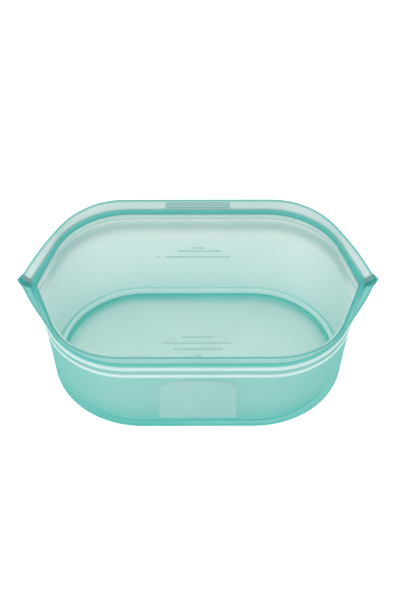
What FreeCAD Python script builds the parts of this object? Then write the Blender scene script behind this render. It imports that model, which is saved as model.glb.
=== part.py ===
import FreeCAD, Part
import math
import os

# Press-to-close silicone dish. Millimetres, +Z up, +X along the mouth from tip to tip.
# The origin is the middle of the underside, so the dish rests on z = 0.
V = FreeCAD.Vector
os.makedirs("parts", exist_ok=True)

# ---- heights ----
base_ring_height = 4.0
floor_underside = 0.6
underside_spare = 0.5
floor_thickness = 2.0
wall_top = 50.0
bead_bottom = 66.0
bead_top = 68.4
rim_height = 75.0
rim_height_at_tips = 71.4

# ---- base plan: two straight sides and two half circles ----
base_flat = 33.5
floor_radius = 50.0
base_radius_underside = 54.8
base_radius = 56.0

# ---- mouth plan: straight lips, round shoulders, slanted sides to the tips ----
wall_top_flat = 41.5
wall_top_radius = 50.0
wall_top_angle = 72.0
wall_top_half_width = 58.53
ridge_height = 67.0
ridge_flat = 42.2
ridge_radius = 49.3
ridge_angle = 70.5
ridge_half_width = 63.4
rim_flat = 45.0
rim_radius = 48.5
rim_angle = 52.5
rim_half_width = 65.7

# ---- thicknesses ----
wall_thickness_low = 2.2
track_thickness = 2.0
flange_thickness = 1.5
bead_outward = 0.7
bead_inward = 2.6

# ---- zip profile, measured square to the leaning lip ----
lip_lean = 16.0
zip_middle_height = 62.6
rail_depth = 2.4
tongue_half_height = 0.9
rail_half_height = 0.6
rail_spacing = 1.9
rail_root = 1.0

# ---- where the moulding is divided ----
lip_half_length = 36.0
tip_start = 92.0

# ---- grip ribs on the rear flange ----
rib_half_length = 20.0
rib_heights = (70.4, 71.9, 73.4)
rib_depth = 0.5
rib_half_height = 0.4

# ---- panel and raised marks ----
mark_height = 0.4
panel_half_width = 23.0
panel_low = 6.5
panel_side = 37.0
panel_middle = 42.5
fill_bars = ((0.0, 37.5, 4.5), (1.0, 35.0, 14.0), (0.0, 30.0, 21.0))
fill_bar_half_height = 0.5
fill_triangle_x = -25.0
fill_triangle_size = 1.4
floor_bars = ((0.0, 15.0, 10.5), (0.0, 10.0, 22.5), (0.0, 5.0, 15.5), (0.0, 0.0, 2.5))
floor_bar_half_width = 0.7

far = 400.0


def closed_wire(flat, radius, angle, width, z):
    # Outline whose ends are slanted lines that meet in a point at each tip.
    turn = math.radians(angle)
    end_x = flat + radius * math.sin(turn)
    end_y = width - radius * (1.0 - math.cos(turn))
    mid_x = flat + radius * math.sin(turn / 2.0)
    mid_y = width - radius * (1.0 - math.cos(turn / 2.0))
    tip_x = end_x + end_y / math.tan(turn)
    edges = []
    for side in (1.0, -1.0):
        edges.append(Part.LineSegment(V(-side * flat, side * width, z), V(side * flat, side * width, z)))
        edges.append(
            Part.Arc(V(side * flat, side * width, z), V(side * mid_x, side * mid_y, z), V(side * end_x, side * end_y, z))
        )
        edges.append(Part.LineSegment(V(side * end_x, side * end_y, z), V(side * tip_x, 0, z)))
        edges.append(Part.LineSegment(V(side * tip_x, 0, z), V(side * end_x, -side * end_y, z)))
        edges.append(
            Part.Arc(V(side * end_x, -side * end_y, z), V(side * mid_x, -side * mid_y, z), V(side * flat, -side * width, z))
        )
    return Part.Wire([e.toShape() for e in edges])


def base_wire(radius, z):
    # Straight sides and half-circle ends, divided like closed_wire so the two can be joined.
    turn = math.radians(wall_top_angle)
    edges = []

    def at(side, angle):
        return V(side * (base_flat + radius * math.sin(angle)), side * radius * math.cos(angle), z)

    for side in (1.0, -1.0):
        marks = (0.0, turn, math.pi / 2.0, math.pi - turn, math.pi)
        edges.append(Part.LineSegment(V(-side * base_flat, side * radius, z), V(side * base_flat, side * radius, z)))
        for start, end in zip(marks[:-1], marks[1:]):
            edges.append(Part.Arc(at(side, start), at(side, (start + end) / 2.0), at(side, end)))
    return Part.Wire([e.toShape() for e in edges])


def mouth_wire(z, outward):
    # Outline of the lips at height z, moved outward (or inward when negative) from the outer face.
    low = (wall_top, wall_top_flat, wall_top_radius, wall_top_angle, wall_top_half_width)
    middle = (ridge_height, ridge_flat, ridge_radius, ridge_angle, ridge_half_width)
    high = (rim_height, rim_flat, rim_radius, rim_angle, rim_half_width)
    first, second = (low, middle) if z < ridge_height else (middle, high)
    share = (z - first[0]) / (second[0] - first[0])
    flat, radius, angle, width = (p + share * (q - p) for p, q in zip(first[1:], second[1:]))
    return closed_wire(flat, radius + outward, angle, width + outward, z)


def ring(wires):
    # Closed ring whose cross-section has one corner on each wire.
    faces = []
    for first, second in zip(wires, wires[1:] + wires[:1]):
        for edge_a, edge_b in zip(first.Edges, second.Edges):
            faces.append(Part.makeRuledSurface(edge_a, edge_b))
    solid = Part.makeSolid(Part.makeShell(faces))
    if solid.Volume < 0:
        solid.reverse()
    return solid


def slab(x_low, x_high, y_low, y_high):
    return Part.makeBox(x_high - x_low, y_high - y_low, far, V(x_low, y_low, -far / 2.0))


def piece(shape, x_low, x_high, y_low, y_high):
    cut = shape.common(slab(x_low, x_high, y_low, y_high))
    return cut.Solids[0] if len(cut.Solids) == 1 else cut


def rail(middle, half_height, depth, root, outer_face):
    # Rib square to the leaning lip. It starts inside the lip by root and reaches depth into the mouth.
    lean = math.radians(lip_lean)
    along = (math.sin(lean), math.cos(lean))
    inward = (-math.cos(lean), math.sin(lean))
    wires = []
    for reach, side in ((-root, -1.0), (-root, 1.0), (depth, 1.0), (depth, -1.0)):
        z = middle + reach * inward[1] + side * half_height * along[1]
        shift = reach * inward[0] + side * half_height * along[0] - (z - middle) * math.tan(lean)
        wires.append(mouth_wire(z, outer_face + shift))
    return ring(wires)


# ---- rings ----
wall = ring(
    [
        base_wire(base_radius, base_ring_height),
        mouth_wire(wall_top, 0.0),
        mouth_wire(wall_top, -track_thickness),
        base_wire(base_radius - wall_thickness_low, base_ring_height),
    ]
)
track = ring(
    [
        mouth_wire(wall_top, 0.0),
        mouth_wire(bead_bottom, 0.0),
        mouth_wire(bead_bottom, -track_thickness),
        mouth_wire(wall_top, -track_thickness),
    ]
)
bead = ring(
    [
        mouth_wire(bead_bottom, bead_outward),
        mouth_wire(bead_top, bead_outward),
        mouth_wire(bead_top, -bead_inward),
        mouth_wire(bead_bottom, -bead_inward),
    ]
)
flange = ring(
    [
        mouth_wire(bead_top, 0.0),
        mouth_wire(rim_height, 0.0),
        mouth_wire(rim_height, -flange_thickness),
        mouth_wire(bead_top, -flange_thickness),
    ]
)

# The rim drops gently towards the tips.
rim_curve = Part.BSplineCurve()
rim_points = [V(-130, -far, rim_height_at_tips - 2.6), V(-107, -far, rim_height_at_tips)]
rim_points += [V(-80, -far, 73.8), V(-52, -far, rim_height), V(0, -far, rim_height), V(52, -far, rim_height)]
rim_points += [V(80, -far, 73.8), V(107, -far, rim_height_at_tips), V(130, -far, rim_height_at_tips - 2.6)]
rim_curve.interpolate(rim_points)
rim_edges = [rim_curve.toShape()]
rim_edges.append(Part.makeLine(rim_points[-1], V(130, -far, 0)))
rim_edges.append(Part.makeLine(V(130, -far, 0), V(-130, -far, 0)))
rim_edges.append(Part.makeLine(V(-130, -far, 0), rim_points[0]))
below_rim = Part.Face(Part.Wire(rim_edges)).extrude(V(0, 2.0 * far, 0))
middle_zone = slab(-lip_half_length, lip_half_length, -far, far)
flange = flange.common(below_rim.fuse(middle_zone))

tongue = rail(zip_middle_height, tongue_half_height, rail_depth, rail_root, -track_thickness).cut(track)
lower_rail = rail(zip_middle_height - rail_spacing, rail_half_height, rail_depth, rail_root, -track_thickness).cut(track)
upper_rail = rail(zip_middle_height + rail_spacing, rail_half_height, rail_depth, rail_root, -track_thickness).cut(track)

nodes = {}

# ---- base ----
base_ring = ring(
    [
        base_wire(base_radius_underside, -underside_spare),
        base_wire(base_radius, base_ring_height),
        base_wire(floor_radius, base_ring_height),
        base_wire(floor_radius, -underside_spare),
    ]
)
above_table = Part.makeBox(far, far, far, V(-far / 2.0, -far / 2.0, 0.0))
nodes["base_ring"] = base_ring.common(above_table).Solids[0]
floor_face = Part.Face(base_wire(floor_radius, floor_underside))
nodes["floor_panel"] = floor_face.extrude(V(0, 0, floor_thickness))
floor_top = floor_underside + floor_thickness
bars = []
for bar_x, bar_y, bar_half in floor_bars:
    corner = V(bar_x - bar_half, bar_y - floor_bar_half_width, floor_top)
    bars.append(Part.makeBox(2.0 * bar_half, 2.0 * floor_bar_half_width, mark_height, corner))
nodes["floor_marks"] = Part.makeCompound(bars)

# ---- centre pieces, then the four shoulders ----
sides = {"front": (-far, 0.0), "rear": (0.0, far)}
ends = {"left": (-far, -lip_half_length), "right": (lip_half_length, far)}
for side, (y_low, y_high) in sides.items():
    centre = (-lip_half_length, lip_half_length, y_low, y_high)
    nodes[side + "_wall"] = piece(wall, *centre)
    nodes[side + "_track"] = piece(track, *centre)
    nodes[side + "_bead"] = piece(bead, *centre)
    nodes[side + "_flange"] = piece(flange, *centre)
    ribs = [tongue] if side == "front" else [lower_rail, upper_rail]
    for end, (x_low, x_high) in ends.items():
        short_low = max(x_low, -tip_start)
        short_high = min(x_high, tip_start)
        shoulder = (short_low, short_high, y_low, y_high)
        name = side + "_" + end
        nodes[name + "_wall"] = piece(wall, x_low, x_high, y_low, y_high)
        strip = piece(track, *shoulder)
        strip = strip.fuse([piece(rib, *shoulder) for rib in ribs] + [piece(bead, *shoulder)])
        nodes[name + "_track"] = strip.removeSplitter()
        nodes[name + "_flange"] = piece(flange, *shoulder)

nodes["tongue"] = piece(tongue, -lip_half_length, lip_half_length, -far, 0.0)
nodes["lower_groove_rail"] = piece(lower_rail, -lip_half_length, lip_half_length, 0.0, far)
nodes["upper_groove_rail"] = piece(upper_rail, -lip_half_length, lip_half_length, 0.0, far)

ribs = []
for height in rib_heights:
    rib = rail(height, rib_half_height, rib_depth, flange_thickness / 2.0, -flange_thickness).cut(flange)
    ribs.append(piece(rib, -rib_half_length, rib_half_length, 0.0, far))
nodes["grip_ribs"] = Part.makeCompound(ribs)

# ---- pointed ends, where both lips join ----
upper_ring = track.fuse([bead, flange])
nodes["left_tip"] = piece(upper_ring, -far, -tip_start, -far, far)
nodes["right_tip"] = piece(upper_ring, tip_start, far, -far, far)

# ---- panel on the front wall and marks inside the rear wall ----
rise = wall_top - base_ring_height
lean_out = wall_top_half_width - base_radius
slope = math.hypot(rise, lean_out)
up = V(0, -lean_out / slope, rise / slope)
outward = V(0, -rise / slope, -lean_out / slope)
foot = V(0, -base_radius, base_ring_height)


def on_front(x, height):
    return foot + V(x, 0, 0) + up * height


panel_edges = [
    Part.makeLine(on_front(-panel_half_width, panel_side), on_front(-panel_half_width, panel_low)),
    Part.makeLine(on_front(-panel_half_width, panel_low), on_front(panel_half_width, panel_low)),
    Part.makeLine(on_front(panel_half_width, panel_low), on_front(panel_half_width, panel_side)),
    Part.Arc(
        on_front(panel_half_width, panel_side), on_front(0, panel_middle), on_front(-panel_half_width, panel_side)
    ).toShape(),
]
nodes["write_on_panel"] = Part.Face(Part.Wire(panel_edges)).extrude(outward * mark_height)

inner_low = base_radius - wall_thickness_low
inner_high = wall_top_half_width - track_thickness
inner_slope = math.hypot(rise, inner_high - inner_low)
inner_up = V(0, (inner_high - inner_low) / inner_slope, rise / inner_slope)
inner_normal = V(0, -rise / inner_slope, (inner_high - inner_low) / inner_slope)
inner_foot = V(0, inner_low, base_ring_height)


def on_rear(x, height):
    return inner_foot + V(x, 0, 0) + inner_up * height


def rear_mark(points):
    outline = Part.makePolygon([on_rear(x, h) for x, h in points + points[:1]])
    return Part.Face(outline).extrude(inner_normal * mark_height)


marks = []
for bar_x, bar_height, bar_half in fill_bars:
    low = bar_height - fill_bar_half_height
    high = bar_height + fill_bar_half_height
    left = bar_x - bar_half
    right = bar_x + bar_half
    marks.append(rear_mark([(left, low), (right, low), (right, high), (left, high)]))
tri_x = fill_triangle_x
tri_z = fill_bars[-1][1]
tri = fill_triangle_size
marks.append(rear_mark([(tri_x - tri, tri_z - tri), (tri_x + tri, tri_z), (tri_x - tri, tri_z + tri)]))
nodes["fill_marks"] = Part.makeCompound(marks)

for name, shape in nodes.items():
    shape.exportStep("parts/" + name + ".step")
    print(name, shape.isValid(), round(shape.Volume, 1), len(shape.Solids))
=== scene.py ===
"""Studio scene of a translucent press-to-close silicone dish, built over its CAD frame."""

import logging
import math
from dataclasses import dataclass
from enum import Enum
from typing import Callable, Sequence

import bmesh
import bpy
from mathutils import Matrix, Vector

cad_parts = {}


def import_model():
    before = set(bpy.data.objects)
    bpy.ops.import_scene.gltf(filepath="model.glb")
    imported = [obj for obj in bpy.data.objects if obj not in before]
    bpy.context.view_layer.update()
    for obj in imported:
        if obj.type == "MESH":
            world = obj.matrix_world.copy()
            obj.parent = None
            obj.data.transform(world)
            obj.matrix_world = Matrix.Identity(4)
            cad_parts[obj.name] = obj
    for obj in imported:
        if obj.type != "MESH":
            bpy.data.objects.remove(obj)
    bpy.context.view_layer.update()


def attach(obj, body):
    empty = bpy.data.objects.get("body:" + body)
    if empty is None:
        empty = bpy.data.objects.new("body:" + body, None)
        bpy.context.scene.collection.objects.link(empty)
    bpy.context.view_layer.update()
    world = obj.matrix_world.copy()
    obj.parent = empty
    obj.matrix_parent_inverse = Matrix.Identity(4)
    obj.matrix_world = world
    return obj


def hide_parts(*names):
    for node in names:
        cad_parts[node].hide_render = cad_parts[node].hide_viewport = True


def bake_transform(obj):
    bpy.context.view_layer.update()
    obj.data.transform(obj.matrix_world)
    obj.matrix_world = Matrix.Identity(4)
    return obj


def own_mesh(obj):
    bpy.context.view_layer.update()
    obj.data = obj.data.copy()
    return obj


log = logging.getLogger("dish")

MM = 0.001
Point = tuple[float, float, float]
Row = list[Point]


class Side(Enum):
    """The two lips of the mouth, with the sign of y on that side."""

    FRONT = -1.0
    REAR = 1.0


class End(Enum):
    """The two pointed ends, with the sign of x at that end."""

    LEFT = -1.0
    RIGHT = 1.0


# ---------------------------------------------------------------- node groups


def new_group(name: str, inputs: Sequence[tuple[str, str, object]], outputs: Sequence[tuple[str, str]]):
    """Makes an empty shader node group.

    Args:
        name: Name of the group.
        inputs: (name, socket type, default) of each input.
        outputs: (name, socket type) of each output.

    Returns:
        (tree, input node, output node).
    """
    tree = bpy.data.node_groups.new(name, "ShaderNodeTree")
    for label, kind, default in inputs:
        socket = tree.interface.new_socket(label, in_out="INPUT", socket_type=kind)
        if default is not None:
            socket.default_value = default
    for label, kind in outputs:
        tree.interface.new_socket(label, in_out="OUTPUT", socket_type=kind)
    return tree, tree.nodes.new("NodeGroupInput"), tree.nodes.new("NodeGroupOutput")


class SiliconeTone:
    """Node group for what all the silicone shares: cloudy colour, a fine moulded grain and uneven gloss."""

    name = "silicone_tone"

    @classmethod
    def tree(cls) -> bpy.types.NodeTree:
        """Builds the group once.

        Returns:
            The group, with outputs Color, Roughness and Height.
        """
        if cls.name in bpy.data.node_groups:
            return bpy.data.node_groups[cls.name]
        tree, source, sink = new_group(
            cls.name,
            (
                ("Pale", "NodeSocketColor", (0.5, 0.8, 0.76, 1)),
                ("Deep", "NodeSocketColor", (0.3, 0.7, 0.65, 1)),
                ("Roughness", "NodeSocketFloat", 0.35),
                ("Foot", "NodeSocketFloat", 0.0),
                ("Hem", "NodeSocketFloat", 0.0),
                ("Tip", "NodeSocketFloat", 0.0),
            ),
            (("Color", "NodeSocketColor"), ("Roughness", "NodeSocketFloat"), ("Height", "NodeSocketFloat")),
        )
        nodes, link = tree.nodes, tree.links.new
        place = nodes.new("ShaderNodeTexCoord")
        cloud = nodes.new("ShaderNodeTexNoise")
        cloud.inputs["Scale"].default_value = 22.0
        cloud.inputs["Detail"].default_value = 2.0
        grain = nodes.new("ShaderNodeTexNoise")
        grain.inputs["Scale"].default_value = 900.0
        grain.inputs["Detail"].default_value = 1.0
        for texture in (cloud, grain):
            link(place.outputs["Object"], texture.inputs["Vector"])
        share = nodes.new("ShaderNodeMapRange")
        share.inputs["From Min"].default_value = 0.35
        share.inputs["From Max"].default_value = 0.75
        share.inputs["To Max"].default_value = 0.18
        link(cloud.outputs["Fac"], share.inputs["Value"])
        parts = nodes.new("ShaderNodeSeparateXYZ")
        link(place.outputs["Object"], parts.inputs["Vector"])
        across = nodes.new("ShaderNodeMath")
        across.operation = "ABSOLUTE"
        link(parts.outputs["X"], across.inputs[0])
        past = nodes.new("ShaderNodeMath")
        past.operation = "SUBTRACT"
        link(across.outputs["Value"], past.inputs[0])
        past.inputs[1].default_value = SHAPE.base_flat * MM
        beyond = nodes.new("ShaderNodeMath")
        beyond.operation = "MAXIMUM"
        link(past.outputs["Value"], beyond.inputs[0])
        beyond.inputs[1].default_value = 0.0
        plan = nodes.new("ShaderNodeCombineXYZ")
        link(beyond.outputs["Value"], plan.inputs["X"])
        link(parts.outputs["Y"], plan.inputs["Y"])
        out = nodes.new("ShaderNodeVectorMath")
        out.operation = "LENGTH"
        link(plan.outputs["Vector"], out.inputs[0])
        weight = share.outputs["Result"]
        for measure, start, full, amount in (
            (parts.outputs["Z"], 0.030, 0.001, "Foot"),
            (out.outputs["Value"], 0.0415, 0.0495, "Hem"),
            (across.outputs["Value"], 0.080, 0.106, "Tip"),
        ):
            ramp = nodes.new("ShaderNodeMapRange")
            ramp.interpolation_type = "SMOOTHSTEP"
            ramp.inputs["From Min"].default_value = start
            ramp.inputs["From Max"].default_value = full
            link(measure, ramp.inputs["Value"])
            added = nodes.new("ShaderNodeMath")
            added.operation = "MULTIPLY_ADD"
            added.use_clamp = True
            link(ramp.outputs["Result"], added.inputs[0])
            link(source.outputs[amount], added.inputs[1])
            link(weight, added.inputs[2])
            weight = added.outputs["Value"]
        mix = nodes.new("ShaderNodeMix")
        mix.data_type = "RGBA"
        link(weight, mix.inputs["Factor"])
        link(source.outputs["Pale"], mix.inputs["A"])
        link(source.outputs["Deep"], mix.inputs["B"])
        link(mix.outputs["Result"], sink.inputs["Color"])
        spread = nodes.new("ShaderNodeMath")
        spread.operation = "MULTIPLY_ADD"
        spread.inputs[1].default_value = 0.16
        link(cloud.outputs["Fac"], spread.inputs[0])
        link(source.outputs["Roughness"], spread.inputs[2])
        link(spread.outputs["Value"], sink.inputs["Roughness"])
        link(grain.outputs["Fac"], sink.inputs["Height"])
        return tree


# ---------------------------------------------------------------- finishes


@dataclass(frozen=True)
class Silicone:
    """A translucent teal silicone finish.

    Attributes:
        name: Material name.
        slot: Name of a material slot; not used.
        pale: Colour of the surface.
        deep: Colour of cloudy places and of the surface seen at a glancing angle.
        through: Tint of what shows through one surface.
        clear: Share of what is behind that shows through, seen head on.
        glow: Share of the dull part that is light let through from behind.
        roughness: Least roughness of the gloss.
        grain: Depth of the moulded grain.
        foot: How much deeper the colour gets towards the thick base.
        hem: How much deeper it gets towards the edge of the floor.
        tip: How much deeper it gets towards the pointed ends.
        edge: How soon the colour deepens as the surface turns away.
    """

    name: str
    slot: str
    pale: tuple[float, float, float]
    deep: tuple[float, float, float]
    through: tuple[float, float, float]
    clear: float
    glow: float
    roughness: float
    grain: float = 0.06
    foot: float = 0.0
    hem: float = 0.0
    tip: float = 0.0
    edge: float = 0.32

    def material(self) -> bpy.types.Material:
        """Builds the material once.

        Returns:
            The material.
        """
        if self.name in bpy.data.materials:
            return bpy.data.materials[self.name]
        mat = bpy.data.materials.new(self.name)
        mat.use_nodes = True
        nodes, link = mat.node_tree.nodes, mat.node_tree.links.new
        nodes.clear()
        tone = nodes.new("ShaderNodeGroup")
        tone.node_tree = SiliconeTone.tree()
        tone.inputs["Pale"].default_value = (*self.pale, 1)
        tone.inputs["Deep"].default_value = (*self.deep, 1)
        tone.inputs["Roughness"].default_value = self.roughness
        tone.inputs["Foot"].default_value = self.foot
        tone.inputs["Hem"].default_value = self.hem
        tone.inputs["Tip"].default_value = self.tip
        slant = nodes.new("ShaderNodeLayerWeight")
        slant.inputs["Blend"].default_value = self.edge
        tint = nodes.new("ShaderNodeMix")
        tint.data_type = "RGBA"
        link(slant.outputs["Facing"], tint.inputs["Factor"])
        link(tone.outputs["Color"], tint.inputs["A"])
        tint.inputs["B"].default_value = (*self.deep, 1)
        bump = nodes.new("ShaderNodeBump")
        bump.inputs["Strength"].default_value = self.grain
        bump.inputs["Distance"].default_value = 0.0004
        link(tone.outputs["Height"], bump.inputs["Height"])
        solid = nodes.new("ShaderNodeBsdfPrincipled")
        solid.inputs["IOR"].default_value = 1.41
        link(tint.outputs["Result"], solid.inputs["Base Color"])
        link(tone.outputs["Roughness"], solid.inputs["Roughness"])
        link(bump.outputs["Normal"], solid.inputs["Normal"])
        glow = nodes.new("ShaderNodeBsdfTranslucent")
        link(tint.outputs["Result"], glow.inputs["Color"])
        body = nodes.new("ShaderNodeMixShader")
        body.inputs["Fac"].default_value = self.glow
        link(solid.outputs["BSDF"], body.inputs[1])
        link(glow.outputs["BSDF"], body.inputs[2])
        window = nodes.new("ShaderNodeBsdfTransparent")
        window.inputs["Color"].default_value = (*self.through, 1)
        open_share = nodes.new("ShaderNodeMapRange")
        open_share.inputs["To Min"].default_value = self.clear
        open_share.inputs["To Max"].default_value = self.clear * 0.25
        link(slant.outputs["Facing"], open_share.inputs["Value"])
        blend = nodes.new("ShaderNodeMixShader")
        link(open_share.outputs["Result"], blend.inputs["Fac"])
        link(body.outputs["Shader"], blend.inputs[1])
        link(window.outputs["BSDF"], blend.inputs[2])
        sink = nodes.new("ShaderNodeOutputMaterial")
        link(blend.outputs["Shader"], sink.inputs["Surface"])
        return mat


WALL = Silicone(
    name="wall_silicone", slot="clear_silicone",
    pale=(0.335, 0.635, 0.61), deep=(0.09, 0.53, 0.48), through=(0.90, 0.965, 0.96),
    clear=0.46, glow=0.50, roughness=0.30, foot=1.0, edge=0.46,
)
# Painted light: the inside of the wall is coloured near white, much lighter than the outside of the same
# silicone, standing for light falling on it from the front and above.
INNER_LIT = Silicone(
    name="inner_lit_silicone", slot="clear_silicone",
    pale=(0.99, 0.93, 0.925), deep=(0.58, 0.72, 0.695), through=(0.98, 0.97, 0.965),
    clear=0.38, glow=0.45, roughness=0.30,
)
# Painted light: a near-white lining inside the zip strip, lifting the shade that falls below its ribs.
LINING_LIT = Silicone(
    name="lining_lit_silicone", slot="clear_silicone",
    pale=(0.99, 0.94, 0.935), deep=(0.60, 0.74, 0.715), through=(0.98, 0.97, 0.965),
    clear=0.12, glow=0.45, roughness=0.28,
)
FLOOR = Silicone(
    name="floor_silicone", slot="clear_silicone",
    pale=(0.62, 0.72, 0.695), deep=(0.20, 0.58, 0.53), through=(0.94, 0.96, 0.955),
    clear=0.46, glow=0.45, roughness=0.34, hem=0.6,
)
FLANGE = Silicone(
    name="flange_silicone", slot="clear_silicone",
    pale=(0.60, 0.67, 0.66), deep=(0.16, 0.54, 0.50), through=(0.93, 0.965, 0.96),
    clear=0.42, glow=0.50, roughness=0.30,
)
FRONT_FLANGE = Silicone(
    name="front_flange_silicone", slot="clear_silicone",
    pale=(0.74, 0.84, 0.83), deep=(0.055, 0.50, 0.47), through=(0.92, 0.96, 0.955),
    clear=0.42, glow=0.50, roughness=0.30, tip=0.95,
)
THICK = Silicone(
    name="bead_silicone", slot="thick_silicone",
    pale=(0.15, 0.60, 0.55), deep=(0.05, 0.46, 0.42), through=(0.40, 0.76, 0.72),
    clear=0.08, glow=0.35, roughness=0.28, tip=0.5,
)
# Thick silicone with painted shade: the inner face of the fold, between floor and wall, is coloured dark for
# its thickness and as if turned away from the light.
THICK_SHADED_FOLD = Silicone(
    name="fold_thick_and_shade_silicone", slot="thick_silicone",
    pale=(0.18, 0.66, 0.60), deep=(0.10, 0.54, 0.49), through=(0.70, 0.90, 0.88),
    clear=0.15, glow=0.40, roughness=0.30,
)
# Painted highlight: the ledge above the fold is coloured near white, as if lit from above.
LEDGE_HIGHLIGHT = Silicone(
    name="ledge_highlight_silicone", slot="clear_silicone",
    pale=(0.95, 0.98, 0.97), deep=(0.60, 0.84, 0.80), through=(0.95, 0.98, 0.975),
    clear=0.15, glow=0.45, roughness=0.24,
)
FOOT = Silicone(
    name="foot_silicone", slot="thick_silicone",
    pale=(0.10, 0.54, 0.49), deep=(0.06, 0.48, 0.43), through=(0.70, 0.92, 0.89),
    clear=0.18, glow=0.45, roughness=0.30,
)
EDGE = Silicone(
    name="edge_silicone", slot="thick_silicone",
    pale=(0.20, 0.54, 0.50), deep=(0.10, 0.46, 0.42), through=(0.60, 0.85, 0.82),
    clear=0.15, glow=0.40, roughness=0.30,
)
# The zip strip's own colour, also used as painted shade under the ribs inside it.
TRACK = Silicone(
    name="track_silicone", slot="clear_silicone",
    pale=(0.30, 0.60, 0.565), deep=(0.10, 0.48, 0.44), through=(0.86, 0.95, 0.94),
    clear=0.30, glow=0.45, roughness=0.26,
)
# Painted highlight: a near-white band on the raised ribs of the zip strip, standing for light catching their
# upper sides.
RIB_HIGHLIGHT = Silicone(
    name="pale_silicone", slot="clear_silicone",
    pale=(0.80, 0.91, 0.885), deep=(0.58, 0.80, 0.76), through=(0.97, 0.99, 0.985),
    clear=0.20, glow=0.45, roughness=0.22,
)
TIP = Silicone(
    name="tip_silicone", slot="thick_silicone",
    pale=(0.10, 0.72, 0.69), deep=(0.05, 0.58, 0.55), through=(0.40, 0.76, 0.72),
    clear=0.08, glow=0.50, roughness=0.28,
)
PANEL = Silicone(
    name="panel_silicone", slot="matt_silicone",
    pale=(0.70, 0.86, 0.83), deep=(0.30, 0.64, 0.59), through=(0.90, 0.96, 0.95),
    clear=0.36, glow=0.50, roughness=0.60, grain=0.15,
)
MARK = Silicone(
    name="mark_silicone", slot="clear_silicone",
    pale=(0.56, 0.76, 0.73), deep=(0.28, 0.62, 0.57), through=(0.88, 0.95, 0.94),
    clear=0.50, glow=0.45, roughness=0.36,
)


# ---------------------------------------------------------------- the dish's shape


@dataclass(frozen=True)
class Outline:
    """Quarter of a plan outline: a straight side, a round shoulder and a slanted line to the tip.

    Attributes:
        flat: Half length of the straight side, in mm.
        radius: Radius of the shoulder.
        angle: Angle that the shoulder turns through, in degrees.
        width: Half width.
    """

    flat: float
    radius: float
    angle: float
    width: float

    straight_steps = 6
    arc_steps = 30
    line_steps = 10

    def mixed(self, other: "Outline", share: float) -> "Outline":
        """The outline part of the way to another one."""
        mine = (self.flat, self.radius, self.angle, self.width)
        theirs = (other.flat, other.radius, other.angle, other.width)
        return Outline(*(a + share * (b - a) for a, b in zip(mine, theirs)))

    def walk(self, outward: float) -> list[tuple[float, float]]:
        """Points from the middle of the side to the tip.

        Args:
            outward: Distance to move the outline outward, in mm.

        Returns:
            (x, y) of each point, in mm.
        """
        turn = math.radians(self.angle)
        radius, width = self.radius + outward, self.width + outward
        points = [(self.flat * i / self.straight_steps, width) for i in range(self.straight_steps)]
        for i in range(self.arc_steps + 1):
            a = turn * i / self.arc_steps
            points.append((self.flat + radius * math.sin(a), width - radius * (1 - math.cos(a))))
        end_x, end_y = points[-1]
        reach = end_y / math.tan(turn)
        for i in range(1, self.line_steps + 1):
            t = i / self.line_steps
            points.append((end_x + reach * t, end_y * (1 - t)))
        return points


@dataclass(frozen=True)
class DishShape:
    """The dish's surface, as plan outlines at each height, in mm."""

    base_flat: float = 33.5
    base_radius: float = 56.0
    base_height: float = 4.0
    wall_top: float = 50.0
    ridge: float = 67.0
    bead_top: float = 68.4
    rim: float = 75.0
    rim_at_tips: float = 71.4
    rim_bend_start: float = 52.0
    tip: float = 110.5
    lean: float = 16.0
    low: Outline = Outline(41.5, 50.0, 72.0, 58.53)
    middle: Outline = Outline(42.2, 49.3, 70.5, 63.4)
    high: Outline = Outline(45.0, 48.5, 52.5, 65.7)

    def stadium(self, radius: float, z: float) -> Row:
        """Quarter of a base outline with a half-circle end, point for point like an Outline."""
        turn = math.radians(self.low.angle)
        n, m, k = Outline.straight_steps, Outline.arc_steps, Outline.line_steps
        row = [(self.base_flat * i / n, radius, z) for i in range(n)]
        for i in range(m + k + 1):
            a = turn * i / m if i <= m else turn + (math.pi / 2 - turn) * (i - m) / k
            row.append((self.base_flat + radius * math.sin(a), radius * math.cos(a), z))
        return row

    def rim_height(self, x: float) -> float:
        """Height of the rim at x."""
        t = min(max((abs(x) - self.rim_bend_start) / (self.tip - self.rim_bend_start), 0), 1.05)
        return self.rim - (self.rim - self.rim_at_tips) * t * t * (1.6 - 0.6 * t)

    def outline(self, z: float) -> Outline:
        """Outline of the outer face at height z, above the wall."""
        if z < self.ridge:
            return self.low.mixed(self.middle, (z - self.wall_top) / (self.ridge - self.wall_top))
        return self.middle.mixed(self.high, (z - self.ridge) / (self.rim - self.ridge))

    def row(self, z: float, outward: float) -> Row:
        """Quarter outline at height z, outward mm from the outer face."""
        if z < self.wall_top:
            share = (z - self.base_height) / (self.wall_top - self.base_height)
            low = self.stadium(self.base_radius + outward, z)
            high = self.low.walk(outward)
            pairs = zip(low, high)
            return [(a[0] + share * (b[0] - a[0]), a[1] + share * (b[1] - a[1]), z) for a, b in pairs]
        if z <= self.bead_top:
            return [(x, y, z) for x, y in self.outline(z).walk(outward)]
        row = []
        for k, (x, _) in enumerate(self.high.walk(outward)):
            share = (self.rim_height(x) - self.bead_top) / (self.rim - self.bead_top)
            height = self.bead_top + (z - self.bead_top) * share
            px, py = self.outline(height).walk(outward)[k]
            row.append((px, py, height))
        return row


SHAPE = DishShape()


# ---------------------------------------------------------------- meshes


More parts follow.
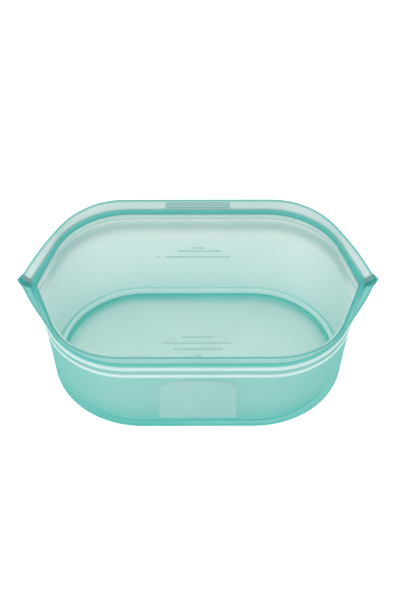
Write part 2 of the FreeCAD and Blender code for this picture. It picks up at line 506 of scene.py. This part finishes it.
def resampled(points: Row, count: int) -> Row:
    """The polyline with count points, evenly spaced along it."""
    lengths = [0.0]
    for a, b in zip(points, points[1:]):
        lengths.append(lengths[-1] + math.dist(a, b))
    out, k = [], 0
    for i in range(count):
        want = lengths[-1] * i / (count - 1)
        while k < len(points) - 2 and lengths[k + 1] < want:
            k += 1
        span = lengths[k + 1] - lengths[k]
        t = (want - lengths[k]) / span if span > 1e-9 else 0.0
        a, b = points[k], points[k + 1]
        out.append(tuple(p + t * (q - p) for p, q in zip(a, b)))
    return out


def parted(row: Row, x: float) -> tuple[Row, Row]:
    """The row up to x and the row from x on."""
    for k, (a, b) in enumerate(zip(row, row[1:])):
        if a[0] <= x < b[0]:
            t = (x - a[0]) / (b[0] - a[0])
            cut = tuple(p + t * (q - p) for p, q in zip(a, b))
            return row[: k + 1] + [cut], [cut] + row[k + 1 :]
    return row, row[-1:]


class MeshMaker:
    """Collects grids of points, in mm, into one mesh."""

    def __init__(self) -> None:
        self.mesh = bmesh.new()
        self.finishes: list[Silicone] = []

    def grid(self, rows: Sequence[Row], loop: bool = False, finishes: Sequence[Silicone] = ()) -> None:
        """Adds a sheet of quads over rows of points.

        Args:
            rows: Rows of equal length.
            loop: True if each row closes on itself.
            finishes: Finish of each band between rows, where it isn't the piece's own.
        """
        grid = [[self.mesh.verts.new(Vector(p) * MM) for p in row] for row in rows]
        for band, (a, b) in enumerate(zip(grid, grid[1:])):
            count = len(a)
            index = 0
            if finishes:
                if finishes[band] not in self.finishes:
                    self.finishes.append(finishes[band])
                index = 1 + self.finishes.index(finishes[band])
            for i in range(count if loop else count - 1):
                j = (i + 1) % count
                self.mesh.faces.new((a[i], a[j], b[j], b[i])).material_index = index

    def object(self, name: str, finish: Silicone, weld: float = 1e-6) -> bpy.types.Object:
        """Makes the object.

        Args:
            name: Name of the piece.
            finish: Its finish.
            weld: Distance within which points are joined, in metres.

        Returns:
            The object, smooth shaded, in the scene.
        """
        bmesh.ops.remove_doubles(self.mesh, verts=self.mesh.verts, dist=weld)
        bmesh.ops.recalc_face_normals(self.mesh, faces=self.mesh.faces)
        data = bpy.data.meshes.new(name)
        self.mesh.to_mesh(data)
        self.mesh.free()
        for face in data.polygons:
            face.use_smooth = True
        used = sorted({face.material_index for face in data.polygons})
        for face in data.polygons:
            face.material_index = used.index(face.material_index)
        for index in used:
            data.materials.append(([finish] + self.finishes)[index].material())
        obj = bpy.data.objects.new(name, data)
        bpy.context.scene.collection.objects.link(obj)
        return obj


def full_loop(quarter: Row) -> Row:
    """The whole closed outline from its quarter with x and y positive."""
    right = quarter + [(x, -y, z) for x, y, z in reversed(quarter[:-1])]
    left = [(-x, y, z) for x, y, z in reversed(right)]
    return right + left[1:-1]


@dataclass
class Sheet:
    """Rows of quarter outlines, and the finish of each band between them where it isn't the piece's own."""

    rows: list[Row]
    finishes: Sequence[Silicone] = ()


# ---------------------------------------------------------------- sub-assemblies


@dataclass
class Base:
    """The floor, the bead round it and the marks on it.

    Attributes:
        floor_top: Height of the floor.
        floor_underside: Height of its underside.
        floor_radius: Radius of the floor's round ends.
        ring_profile: (radius, height) up the outside of the base bead and under it.
        fold_profile: (radius, height) from the floor up to the wall.
        core_length: Length of the floor's middle line, as a share of the floor's.
        core_width: Width of that line, as a share of the floor's.
        marks: (x, y, half length) of each bar on the floor.
    """

    floor_top: float = 2.6
    floor_underside: float = 0.6
    floor_radius: float = 49.2
    ring_profile: tuple = (
        (56.0, 4.0), (55.9, 2.6), (55.6, 1.2), (55.0, 0.35),
        (54.2, 0.0), (50.8, 0.0), (50.0, 0.25), (49.6, 0.6),
    )
    fold_profile: tuple = (
        (49.2, 2.6), (49.8, 2.9), (50.4, 3.8), (50.7, 5.2),
        (50.9, 6.6), (51.4, 7.5), (52.3, 7.9), (54.0, 8.0),
    )
    core_length: float = 0.15
    core_width: float = 0.002
    marks: tuple = ((0.0, 15.0, 10.5), (0.0, 10.0, 22.5), (0.0, 5.0, 15.5), (0.0, 0.0, 2.5))

    def build(self) -> None:
        """Builds the base's pieces, which stay still."""
        maker = MeshMaker()
        maker.grid([full_loop(SHAPE.stadium(r, z)) for r, z in self.ring_profile], loop=True)
        fold = [full_loop(SHAPE.stadium(r, z)) for r, z in self.fold_profile]
        # Fold face: dark for its thickness and painted shade; ledge: painted highlight.
        maker.grid(fold, loop=True, finishes=[THICK_SHADED_FOLD] * 3 + [LEDGE_HIGHLIGHT] * 3 + [MARK])
        ring = maker.object("base_bead", FOOT)
        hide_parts("base_ring")
        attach(ring, "tub")
        log.info("base_bead")
        maker = MeshMaker()
        for radius, z in ((self.floor_radius, self.floor_top), (49.6, self.floor_underside)):
            quarter = resampled(SHAPE.stadium(radius, z), 48)
            maker.grid([self.spoke(quarter, t) for t in (0.0, 0.2, 0.4, 0.6, 0.8, 1.0)], loop=True)
        floor = maker.object("floor", FLOOR)
        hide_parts("floor_panel")
        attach(floor, "tub")
        log.info("floor")
        marks = raised_bars("floor_bars", self.marks, self.floor_top, 0.7, lambda x, y, h: (x, y, h))
        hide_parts("floor_marks")
        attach(marks, "tub")
        log.info("floor_bars")

    def spoke(self, quarter: Row, share: float) -> Row:
        """The outline drawn in towards the floor's middle line."""
        along = self.core_length + (1 - self.core_length) * share
        across = max(share, self.core_width)
        return [(x * along, y * across, z) for x, y, z in full_loop(quarter)]


BAR_PROFILE = ((-1.0, 0.0), (-0.8, 0.25), (-0.4, 0.38), (0.4, 0.38), (0.8, 0.25), (1.0, 0.0))
BAR_END = 0.3


def raised_bars(name: str, bars: Sequence, level: float, half: float, place: Callable) -> bpy.types.Object:
    """Low rounded bars on a surface.

    Args:
        name: Name of the piece.
        bars: (x, y, half length) of each bar, in mm.
        level: Height of the surface they stand on.
        half: Half the width of a bar.
        place: Turns (x, y, height) into a point.

    Returns:
        The object.
    """
    maker = MeshMaker()
    for x, y, reach in bars:
        steps = max(2, int(reach))
        rows = []
        for share, height in BAR_PROFILE:
            short = reach - (BAR_END if height else 0.0)
            xs = [x - short + 2 * short * i / steps for i in range(steps + 1)]
            rows.append([place(across, y + half * share, level + height) for across in xs])
        maker.grid(rows)
    return maker.object(name, MARK)


@dataclass
class Lip:
    """One side of the dish: its wall, zip strip, bead and flange; the middle zip strip, bead and flange ride
    on the lip's body.

    Attributes:
        side: Which lip.
        split: x where the middle gives way to the shoulders.
        still_from: x beyond which the shoulders stay with the tub; not used.
        wall_inner_foot: Height at which the inside of the wall starts.
        thickness: Thickness of wall and zip strip.
        flange_thickness: Thickness of the flange.
        tongue: Height of the middle of the zip.
        rail_depth: How far the ribs of the zip stand out.
        rail_spacing: Distance of each rail from the middle of the zip.
        outer_ribs: Lowest and highest point of each raised line along the outside, coloured with a painted
            highlight.
        rib_fade: x where the zip's ribs start to die away, and where they are gone.
        rib_profile: (share of the depth, share of the half thickness) round a rib.
    """

    side: Side
    split: float = 50.0
    still_from: float = 102.0
    wall_inner_foot: float = 8.0
    thickness: float = 2.0
    flange_thickness: float = 1.5
    tongue: float = 62.6
    rail_depth: float = 2.4
    rail_spacing: float = 1.9
    outer_ribs: tuple = ((50.2, 54.3), (58.5, 63.3))
    rib_fade: tuple = (80.0, 94.0)
    rib_profile: tuple = (
        (0, -1), (0.5, -1), (0.85, -0.9), (1, -0.5), (1, 0.5), (0.85, 0.9), (0.5, 1), (0, 1),
    )

    @property
    def key(self) -> str:
        """front or rear."""
        return self.side.name.lower()

    @property
    def body(self) -> str:
        """CAD body of the lip."""
        return self.key + "_lip"

    def wall_rows(self) -> list[Sheet]:
        """Outer and inner sheets of the wall."""
        steps = 14
        outer, inner = [], []
        for i in range(steps + 1):
            t = i / steps
            outer.append(SHAPE.row(4.0 + (SHAPE.wall_top - 4.001) * t, 0.0))
            z = self.wall_inner_foot + (SHAPE.wall_top - 0.001 - self.wall_inner_foot) * t
            inner.append(SHAPE.row(z, -self.thickness - 0.2 * (1 - t)))
        # The inner sheet takes the painted light of the wall's inside.
        return [Sheet(outer), Sheet(inner, [INNER_LIT] * steps)]

    def track_rows(self) -> list[Sheet]:
        """Outer and inner sheets of the zip strip, up to the bead."""
        outer_profile = (
            (50.0, 0.0), (50.3, 0.35), (50.8, 0.8), (52.0, 1.0), (53.3, 0.9), (54.2, 0.5),
            (55.0, 0.1), (57.0, 0.0), (58.4, 0.05), (58.9, 0.45), (59.8, 0.85), (61.4, 1.0),
            (62.8, 0.7), (63.5, 0.25), (64.8, 0.15), (66.0, 0.3),
        )
        outer = [SHAPE.row(z, u) for z, u in outer_profile]
        # The raised outer ribs get the painted highlight; the bands between them keep the track colour.
        bands = [RIB_HIGHLIGHT if self.on_rib(a[0], b[0]) else TRACK for a, b in zip(outer_profile, outer_profile[1:])]
        bands[-2:] = [THICK, THICK]
        inner = [self.fading(z, u) for z, u in self.inner_profile()]
        return [Sheet(outer, bands), Sheet(inner, self.inner_finishes())]

    def fading(self, z: float, outward: float) -> Row:
        """A row of the zip strip's inside whose ribs die away towards the tips."""
        row = []
        for rib, plain in zip(SHAPE.row(z, outward), SHAPE.row(z, -self.thickness)):
            t = min(max((rib[0] - self.rib_fade[0]) / (self.rib_fade[1] - self.rib_fade[0]), 0), 1)
            share = t * t * (3 - 2 * t)
            row.append(tuple(a + share * (b - a) for a, b in zip(rib, plain)))
        return row

    def on_rib(self, low: float, high: float) -> bool:
        """True for the two raised lines along the outside of the zip strip, which get the painted highlight.
        """
        middle = (low + high) / 2
        return any(start < middle < end for start, end in self.outer_ribs)

    def inner_ribs(self) -> tuple[tuple[float, float], ...]:
        """(height, half thickness) of each rib inside the zip strip."""
        if self.side is Side.FRONT:
            return ((self.tongue, 0.9),)
        return ((self.tongue - self.rail_spacing, 0.6), (self.tongue + self.rail_spacing, 0.6))

    def inner_profile(self) -> list[tuple[float, float]]:
        """Inside of the zip strip, with its ribs."""
        t, d = self.thickness, self.rail_depth
        lean = math.radians(SHAPE.lean)
        points = [(SHAPE.wall_top, -t)]
        for middle, half in self.inner_ribs():
            for reach, across in self.rib_profile:
                z = middle + reach * d * math.sin(lean) + across * half * math.cos(lean)
                u = -t - reach * d * math.cos(lean) - (z - middle) * math.tan(lean)
                u += across * half * math.sin(lean)
                points.append((z, u))
        points.append((66.0, -t))
        return points

    def inner_finishes(self) -> list[Silicone]:
        """Finish of each band inside the zip strip: painted shade under each rib, a painted highlight on top
        of it and painted light on the lining between.
        """
        bands = []
        for _ in self.inner_ribs():
            # Lining painted light, rib underside painted shade, rib top painted highlight.
            bands += [LINING_LIT, TRACK, TRACK, LINING_LIT, RIB_HIGHLIGHT, RIB_HIGHLIGHT, RIB_HIGHLIGHT, RIB_HIGHLIGHT]
        return bands + [LINING_LIT]

    def bead_rows(self) -> list[Sheet]:
        """Outer and inner sheets of the bead."""
        outer = ((66.0, 0.3), (66.4, 0.65), (67.0, 0.8), (67.6, 0.75), (68.1, 0.4), (68.4, 0.0))
        inner = ((66.0, -2.0), (66.3, -2.35), (66.9, -2.6), (67.6, -2.55), (68.1, -2.1), (68.4, -1.5))
        return [Sheet([SHAPE.row(z, u) for z, u in profile]) for profile in (outer, inner)]

    def flange_rows(self) -> list[Sheet]:
        """The flange, out and in over the rounded rim."""
        t = self.flange_thickness
        profile = [(68.401 + 5.9 * i / 5, 0.0) for i in range(6)]
        profile += [(74.7, -0.1), (74.95, -0.4), (75.0, -t / 2), (74.95, -t + 0.4), (74.7, -t + 0.1)]
        profile += [(74.3 - 5.9 * i / 5, -t) for i in range(6)]
        face = FRONT_FLANGE if self.side is Side.FRONT else FLANGE
        bands = [face] * 5 + [EDGE] * 6 + [face] * 5
        return [Sheet([SHAPE.row(z, u) for z, u in profile], bands)]

    def on_side(self, row: Row, mirror: float = 1.0) -> Row:
        """The row on this lip's side of the dish."""
        return [(x * mirror, y * self.side.value, z) for x, y, z in row]

    def middle_piece(self, name: str, sheets: list[Sheet], finish: Silicone) -> bpy.types.Object:
        """The part of some sheets between the splits."""
        maker = MeshMaker()
        for sheet in sheets:
            grid = []
            for row in sheet.rows:
                near = resampled(parted(row, self.split)[0], 26)
                grid.append(self.on_side([(-x, y, z) for x, y, z in reversed(near[1:])] + near))
            maker.grid(grid, finishes=sheet.finishes)
        return maker.object(name, finish)

    def shoulder_piece(self, name: str, sheets: list[Sheet], finish: Silicone, end: End) -> bpy.types.Object:
        """The part of some sheets from a split to the tip."""
        maker = MeshMaker()
        for sheet in sheets:
            rows = [self.on_side(resampled(parted(row, self.split)[1], 44), end.value) for row in sheet.rows]
            maker.grid(rows, finishes=sheet.finishes)
        return maker.object(name, finish)

    def build(self) -> None:
        """Builds this side; its middle zip strip, bead and flange ride on the lip's body, and the wall and
        shoulder pieces are left where they are.
        """
        wall = self.middle_piece(self.key + "_wall_skin", self.wall_rows(), WALL)
        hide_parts(self.key + "_wall")
        self.bend_wall(wall)
        log.info(wall.name)
        ribs = ["tongue"] if self.side is Side.FRONT else ["lower_groove_rail", "upper_groove_rail"]
        for part, rows, finish, nodes in (
            ("track", self.track_rows(), TRACK, [self.key + "_track"] + ribs),
            ("bead", self.bead_rows(), THICK, [self.key + "_bead"]),
            ("flange", self.flange_rows(), FLANGE, [self.key + "_flange"]),
        ):
            piece = self.middle_piece(f"{self.key}_{part}_skin", rows, finish)
            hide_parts(*nodes)
            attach(piece, self.body)
            log.info(piece.name)
        for end in End:
            self.build_shoulder(end)

    def build_shoulder(self, end: End) -> None:
        """Builds the rounded end of this side."""
        stem = f"{self.key}_{end.name.lower()}"
        wall = self.shoulder_piece(stem + "_wall_skin", self.wall_rows(), WALL, end)
        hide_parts(stem + "_wall")
        self.bend(wall)
        log.info(wall.name)
        for part, rows, finish in (
            ("track", self.track_rows(), TRACK),
            ("bead", self.bead_rows(), THICK),
            ("flange", self.flange_rows(), FLANGE),
        ):
            piece = self.shoulder_piece(f"{stem}_{part}_skin", rows, finish, end)
            if part != "bead":
                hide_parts(f"{stem}_{part}")
            self.bend(piece)
            log.info(piece.name)

    def bend(self, piece: bpy.types.Object) -> None:
        """Bakes a piece's transform into its mesh; nothing bends it.

        Args:
            piece: The piece.
        """
        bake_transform(piece)

    def bend_wall(self, piece: bpy.types.Object) -> None:
        """Bakes a piece's transform, as bend does; nothing bends it."""
        self.bend(piece)


@dataclass
class GripRibs:
    """Three raised ribs on the rear flange, to hold it by.

    Attributes:
        heights: Height of the middle of each rib.
        reach: Half length of a rib.
        flange_thickness: Thickness of the flange they stand on.
        profile: (height from the middle, distance off the flange) across a rib.
    """

    heights: tuple = (70.4, 71.9, 73.4)
    reach: float = 20.0
    flange_thickness: float = 1.5
    profile: tuple = ((-0.45, 0.0), (-0.3, 0.35), (0.0, 0.5), (0.3, 0.35), (0.45, 0.0))

    def build(self) -> None:
        """Builds the ribs, which ride on the rear lip."""
        maker = MeshMaker()
        for height in self.heights:
            rows = []
            for dz, bulge in self.profile:
                y = SHAPE.outline(height + dz).width - self.flange_thickness - bulge
                rows.append([(-self.reach + self.reach * i / 10, y, height + dz) for i in range(21)])
            maker.grid(rows)
        ribs = maker.object("grip_rib_skin", TRACK)
        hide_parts("grip_ribs")
        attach(ribs, "rear_lip")
        log.info(ribs.name)


@dataclass
class WritingPanel:
    """Matt panel with an arched top on the front wall.

    Attributes:
        half_width: Half its width.
        low: Distance of its lower edge up the wall.
        side: Distance of its top corners up the wall.
        middle: Distance of the top of its arch up the wall.
        lift: How far it stands off the wall.
        skirt: How far its edge slopes out.
        sunk: How far the edge goes into the wall.
        skirt_turn: Distance up the wall above which the edge slopes upward.
        wall: Rise and run of the wall.
    """

    half_width: float = 23.0
    low: float = 6.5
    side: float = 37.0
    middle: float = 42.5
    lift: float = 0.35
    skirt: float = 0.35
    sunk: float = 0.02
    skirt_turn: float = 26.0
    wall: tuple = (46.0, 2.53)

    def point(self, x: float, up: float, out: float) -> Point:
        """A point on the front wall, from its place across and up the wall and its distance off it."""
        slope = math.hypot(*self.wall)
        rise, run = (part / slope for part in self.wall)
        y = -(SHAPE.base_radius + up * run + out * rise)
        return (x, y, SHAPE.base_height + up * rise - out * run)

    def top(self, x: float) -> float:
        """Height of the arched top at x."""
        return self.middle - (self.middle - self.side) * (x / self.half_width) ** 4

    def build(self, lip: Lip) -> None:
        """Builds the panel and bakes its transform, as for the wall."""
        maker = MeshMaker()
        columns = [self.half_width * (-1 + i / 10) for i in range(21)]
        rows = []
        for k in range(17):
            ups = [self.low + (self.top(x) - self.low) * k / 16 for x in columns]
            rows.append([self.point(x, up, self.lift) for x, up in zip(columns, ups)])
        maker.grid(rows)
        edge = [self.point(x, self.low, self.lift) for x in columns]
        edge += [row[-1] for row in rows[1:]] + rows[-1][-2::-1] + [row[0] for row in rows[-2:0:-1]]
        skirt = []
        for x, y, z in edge:
            up = (z - 4.0) * math.hypot(*self.wall) / self.wall[0]
            out_x = x + self.skirt * math.copysign(1, x) * (abs(x) > self.half_width - 0.01)
            out_up = up + (self.skirt if up > self.skirt_turn else -self.skirt)
            skirt.append(self.point(out_x, out_up, -self.sunk))
        maker.grid([edge, skirt], loop=True)
        panel = maker.object("writing_panel", PANEL)
        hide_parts("write_on_panel")
        lip.bend_wall(panel)
        log.info(panel.name)


@dataclass
class FillMarks:
    """Raised level marks inside the rear wall.

    Attributes:
        bars: (x, distance up the wall, half length) of each mark.
    """

    bars: tuple = ((0.0, 37.5, 4.5), (1.0, 35.0, 14.0), (0.0, 30.0, 21.0), (-25.0, 30.0, 1.4))

    def point(self, x: float, up: float, off: float) -> Point:
        """A point on the inside of the rear wall."""
        rise, out = 46.0, 56.53 - 53.8
        slope = math.hypot(rise, out)
        return (x, 53.8 + up * out / slope - off * rise / slope, 4.0 + up * rise / slope + off * out / slope)

    def build(self, lip: Lip) -> None:
        """Builds the marks and bakes their transform, as for the wall."""
        marks = raised_bars("level_marks", self.bars, 0.0, 0.5, self.point)
        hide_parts("fill_marks")
        lip.bend_wall(marks)
        log.info(marks.name)


@dataclass
class TipWeb:
    """The thick web that joins the two lips in a pointed end.

    Attributes:
        end: Which end.
        keep: Share of its width left when the mouth is closed; not used.
        profile: (height, distance outward, length in from the tip) up the web.
    """

    end: End
    keep: float = 0.6
    profile: tuple = (
        (66.8, 0.1, 1.0), (68.4, 0.12, 1.5), (70.5, 0.14, 1.9), (74.0, 0.14, 2.4), (75.1, -0.1, 2.2),
    )

    def build(self) -> None:
        """Builds the web, which rides on the tub."""
        maker = MeshMaker()
        rows = []
        for z, u, inset in self.profile:
            row = SHAPE.row(z, u)
            tip_x = row[-1][0]
            half = resampled(parted(row, tip_x - inset)[1], 7)
            whole = half + [(x, -y, z2) for x, y, z2 in reversed(half[:-1])]
            rows.append([(x * self.end.value, y, z2) for x, y, z2 in whole])
        top = rows[-1]
        middle = tuple(sum(p[i] for p in top) / len(top) for i in range(3))
        rows.append([tuple(0.5 * (p + q) for p, q in zip(point, middle)) for point in top])
        rows.append([tuple(0.05 * p + 0.95 * q for p, q in zip(point, middle)) for point in top])
        maker.grid(rows, loop=True)
        web = maker.object(f"{self.end.name.lower()}_tip_web", TIP)
        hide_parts(f"{self.end.name.lower()}_tip")
        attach(web, "tub")
        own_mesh(web)
        log.info(web.name)


# ---------------------------------------------------------------- studio


@dataclass
class Studio:
    """Pale floor, soft light and the camera.

    Attributes:
        elevation: Camera's angle above the table, in degrees.
        distance: Its distance from the dish, in metres.
        lens: Focal length, in mm.
        aim: Point the camera looks at.
    """

    elevation: float = 48.0
    distance: float = 1.028
    lens: float = 99.9
    look: tuple = (0.0, 0.0, 0.028)
    aim: tuple = (0.0016, 0.01255, 0.0393)

    def build(self) -> None:
        """Builds the studio."""
        self.build_floor()
        self.build_lights()
        self.build_camera()
        log.info("studio")

    def build_floor(self) -> None:
        """A wide white floor."""
        mesh = bpy.data.meshes.new("floor_sheet")
        r = 6.0
        mesh.from_pydata([(-r, -r, 0), (r, -r, 0), (r, r, 0), (-r, r, 0)], [], [(0, 1, 2, 3)])
        mat = bpy.data.materials.new("studio_floor")
        mat.use_nodes = True
        shader = mat.node_tree.nodes["Principled BSDF"]
        shader.inputs["Base Color"].default_value = (0.93, 0.93, 0.93, 1)
        shader.inputs["Roughness"].default_value = 0.9
        shader.inputs["Specular IOR Level"].default_value = 0.1
        shader.inputs["Emission Color"].default_value = (1, 1, 1, 1)
        shader.inputs["Emission Strength"].default_value = 0.6
        mesh.materials.append(mat)
        obj = bpy.data.objects.new("studio_floor", mesh)
        bpy.context.scene.collection.objects.link(obj)

    def build_lights(self) -> None:
        """An even white sky and one large soft light above and behind."""
        world = bpy.data.worlds.new("studio_sky")
        world.use_nodes = True
        world.node_tree.nodes["Background"].inputs["Color"].default_value = (1, 1, 1, 1)
        world.node_tree.nodes["Background"].inputs["Strength"].default_value = 0.80
        bpy.context.scene.world = world
        for name, place, size, power in (
            ("top_light", (0.1, 0.35, 1.5), 1.6, 8.0),
            ("front_light", (-0.7, -1.3, 1.0), 1.0, 4.0),
        ):
            data = bpy.data.lights.new(name, "AREA")
            data.shape = "DISK"
            data.size = size
            data.energy = power
            obj = bpy.data.objects.new(name, data)
            obj.location = place
            obj.rotation_euler = (-Vector(place)).to_track_quat("-Z", "Y").to_euler()
            bpy.context.scene.collection.objects.link(obj)
        bpy.context.scene.view_settings.view_transform = "Standard"

    def build_camera(self) -> None:
        """The camera, looking down at the front of the dish."""
        data = bpy.data.cameras.new("camera")
        data.lens = self.lens
        data.sensor_width = 36.0
        obj = bpy.data.objects.new("camera", data)
        e = math.radians(self.elevation)
        obj.location = Vector(self.look) + self.distance * Vector((0, -math.cos(e), math.sin(e)))
        way = Vector(self.aim) - obj.location
        obj.rotation_euler = way.to_track_quat("-Z", "Y").to_euler()
        bpy.context.scene.collection.objects.link(obj)
        bpy.context.scene.camera = obj


def plain(box: Sequence[Vector]) -> list[list[float]]:
    """The box's two corners as plain numbers."""
    return [[float(value) for value in corner] for corner in box]


def main() -> None:
    """Builds the scene."""
    logging.basicConfig(level=logging.INFO, format="%(message)s")
    bpy.ops.wm.read_factory_settings(use_empty=True)
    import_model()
    Studio().build()
    Base().build()
    front, rear = Lip(Side.FRONT), Lip(Side.REAR)
    front.build()
    rear.build()
    WritingPanel().build(front)
    FillMarks().build(rear)
    GripRibs().build()
    for end in End:
        TipWeb(end).build()


if __name__ == "__main__":
    main()
